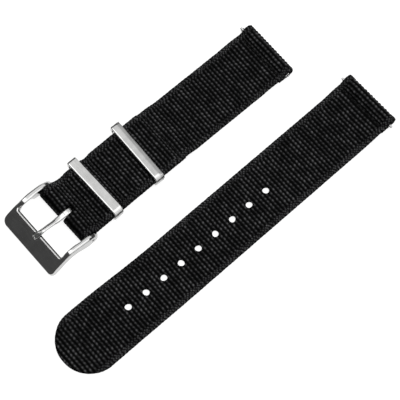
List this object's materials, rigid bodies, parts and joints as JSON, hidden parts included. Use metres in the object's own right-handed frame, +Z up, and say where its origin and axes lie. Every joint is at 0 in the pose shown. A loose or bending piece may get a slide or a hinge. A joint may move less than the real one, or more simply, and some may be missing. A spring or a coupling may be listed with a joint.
{
  "type": "woven watch strap",
  "caption": "Two-piece woven nylon watch strap with tang buckle, two steel keepers, row of adjuster holes and sprung lug bars.",
  "frame": {"origin": "centre of the footprint of the two straps, on the surface they lie on", "axes": "+X along both straps towards their lug ends, +Y from the long strap towards the buckle strap, +Z up"},
  "size_m": [0.1252, 0.0577, 0.0046],
  "materials": {
    "webbing": "plain woven nylon",
    "thread": "twisted nylon thread",
    "keeper_steel": "brushed across the strap",
    "buckle_steel": "polished",
    "bar_steel": "turned",
    "spring_steel": "drawn wire"
  },
  "bodies": {
    "buckle_strap": {"short_webbing_4_buckle_fold": "webbing", "buckle_seam_thread": "thread", "keeper_seam_thread_1": "thread", "keeper_seam_thread_2": "thread"},
    "short_span_3": {"short_webbing_3": "webbing"},
    "short_span_2": {"short_webbing_2": "webbing"},
    "short_lug_end": {"short_webbing_1_lug_loop": "webbing", "short_lug_seam_thread": "thread"},
    "keeper_1": {"keeper_1": "keeper_steel"},
    "keeper_2": {"keeper_2": "keeper_steel"},
    "buckle": {"buckle_frame": "buckle_steel"},
    "tongue": {"buckle_tongue": "buckle_steel"},
    "long_lug_end": {"long_webbing_1_lug_loop": "webbing", "long_lug_seam_thread": "thread"},
    "long_span_2": {"long_webbing_2": "webbing"},
    "long_span_3": {"long_webbing_3": "webbing"},
    "long_span_4": {"long_webbing_4": "webbing"},
    "long_span_5": {"long_webbing_5": "webbing"},
    "long_span_6": {"long_webbing_6": "webbing"},
    "long_tip": {"long_webbing_7_tip": "webbing"},
    "long_bar": {"long_lug_bar_tube": "bar_steel", "long_lug_bar_spring": "spring_steel"},
    "long_bar_tip_a": {"long_lug_bar_tip_a": "bar_steel"},
    "long_bar_tip_b": {"long_lug_bar_tip_b": "bar_steel"},
    "short_bar": {"short_lug_bar_tube": "bar_steel", "short_lug_bar_spring": "spring_steel"},
    "short_bar_tip_a": {"short_lug_bar_tip_a": "bar_steel"},
    "short_bar_tip_b": {"short_lug_bar_tip_b": "bar_steel"},
    "buckle_bar": {"buckle_bar_tube": "bar_steel", "buckle_bar_spring": "spring_steel"},
    "buckle_bar_tip_a": {"buckle_bar_tip_a": "bar_steel"},
    "buckle_bar_tip_b": {"buckle_bar_tip_b": "bar_steel"}
  },
  "joints": [
    {"name": "long_strap_lift", "type": "slide", "parent": "buckle_strap", "child": "long_lug_end", "axis": [0, 0, 1], "range_m": [0, 0.05]},
    {"name": "long_bend_1", "type": "hinge", "parent": "long_lug_end", "child": "long_span_2", "pos_m": [0.0466, -0.01798, 0.0005], "axis": [0, 1, 0], "range_deg": [-40, 40], "stiffness_Nm_per_rad": 0.003},
    {"name": "long_bend_2", "type": "hinge", "parent": "long_span_2", "child": "long_span_3", "pos_m": [0.0306, -0.01798, 0.0005], "axis": [0, 1, 0], "range_deg": [-40, 40], "stiffness_Nm_per_rad": 0.003},
    {"name": "long_bend_3", "type": "hinge", "parent": "long_span_3", "child": "long_span_4", "pos_m": [0.01381, -0.01798, 0.0005], "axis": [0, 1, 0], "range_deg": [-40, 40], "stiffness_Nm_per_rad": 0.003},
    {"name": "long_bend_4", "type": "hinge", "parent": "long_span_4", "child": "long_span_5", "pos_m": [-0.00678, -0.01798, 0.0005], "axis": [0, 1, 0], "range_deg": [-40, 40], "stiffness_Nm_per_rad": 0.003},
    {"name": "long_bend_5", "type": "hinge", "parent": "long_span_5", "child": "long_span_6", "pos_m": [-0.02737, -0.01798, 0.0005], "axis": [0, 1, 0], "range_deg": [-40, 40], "stiffness_Nm_per_rad": 0.003},
    {"name": "long_bend_6", "type": "hinge", "parent": "long_span_6", "child": "long_tip", "pos_m": [-0.0444, -0.01798, 0.0005], "axis": [0, 1, 0], "range_deg": [-40, 40], "stiffness_Nm_per_rad": 0.003},
    {"name": "short_bend_1", "type": "hinge", "parent": "buckle_strap", "child": "short_span_3", "pos_m": [0.0128, 0.01625, 0.0005], "axis": [0, -1, 0], "range_deg": [-40, 40], "stiffness_Nm_per_rad": 0.003},
    {"name": "short_bend_2", "type": "hinge", "parent": "short_span_3", "child": "short_span_2", "pos_m": [0.0248, 0.01595, 0.0005], "axis": [0, -1, 0], "range_deg": [-40, 40], "stiffness_Nm_per_rad": 0.003},
    {"name": "short_bend_3", "type": "hinge", "parent": "short_span_2", "child": "short_lug_end", "pos_m": [0.0368, 0.01565, 0.0005], "axis": [0, -1, 0], "range_deg": [-40, 40], "stiffness_Nm_per_rad": 0.003},
    {"name": "keeper_1_slide", "type": "slide", "parent": "buckle_strap", "child": "keeper_1", "axis": [1, 0, 0], "range_m": [-0.0017, 0.0008]},
    {"name": "keeper_2_slide", "type": "slide", "parent": "buckle_strap", "child": "keeper_2", "axis": [1, 0, 0], "range_m": [-0.009, 0.0053]},
    {"name": "buckle_swing", "type": "hinge", "parent": "buckle_strap", "child": "buckle", "pos_m": [-0.0322, 0.01625, 0.002], "axis": [0, 1, 0], "range_deg": [-60, 10]},
    {"name": "tongue_swing", "type": "hinge", "parent": "buckle", "child": "tongue", "pos_m": [-0.0322, 0.01625, 0.002], "axis": [0, 1, 0], "range_deg": [0, 95]},
    {"name": "long_bar_spin", "type": "hinge", "parent": "long_lug_end", "child": "long_bar", "pos_m": [0.0596, -0.01798, 0.00185], "axis": [0, 1, 0], "continuous": true},
    {"name": "long_bar_tip_a_push", "type": "slide", "parent": "long_bar", "child": "long_bar_tip_a", "axis": [0, -1, 0], "range_m": [0, 0.0011], "stiffness_N_per_m": 2000, "springref_m": -0.001, "deforming": ["long_lug_bar_spring"]},
    {"name": "long_bar_tip_b_push", "type": "slide", "parent": "long_bar", "child": "long_bar_tip_b", "axis": [0, 1, 0], "range_m": [0, 0.0011], "stiffness_N_per_m": 2000, "springref_m": -0.001},
    {"name": "short_bar_spin", "type": "hinge", "parent": "short_lug_end", "child": "short_bar", "pos_m": [0.0477, 0.0156, 0.00185], "axis": [0, 1, 0], "continuous": true},
    {"name": "short_bar_tip_a_push", "type": "slide", "parent": "short_bar", "child": "short_bar_tip_a", "axis": [0, -1, 0], "range_m": [0, 0.0011], "stiffness_N_per_m": 2000, "springref_m": -0.001, "deforming": ["short_lug_bar_spring"]},
    {"name": "short_bar_tip_b_push", "type": "slide", "parent": "short_bar", "child": "short_bar_tip_b", "axis": [0, 1, 0], "range_m": [0, 0.0011], "stiffness_N_per_m": 2000, "springref_m": -0.001},
    {"name": "buckle_bar_spin", "type": "hinge", "parent": "buckle", "child": "buckle_bar", "pos_m": [-0.0322, 0.01625, 0.002], "axis": [0, 1, 0], "continuous": true},
    {"name": "buckle_bar_tip_a_push", "type": "slide", "parent": "buckle_bar", "child": "buckle_bar_tip_a", "axis": [0, -1, 0], "range_m": [0, 0.0011], "stiffness_N_per_m": 2000, "springref_m": -0.001, "deforming": ["buckle_bar_spring"]},
    {"name": "buckle_bar_tip_b_push", "type": "slide", "parent": "buckle_bar", "child": "buckle_bar_tip_b", "axis": [0, 1, 0], "range_m": [0, 0.0011], "stiffness_N_per_m": 2000, "springref_m": -0.001}
  ]
}
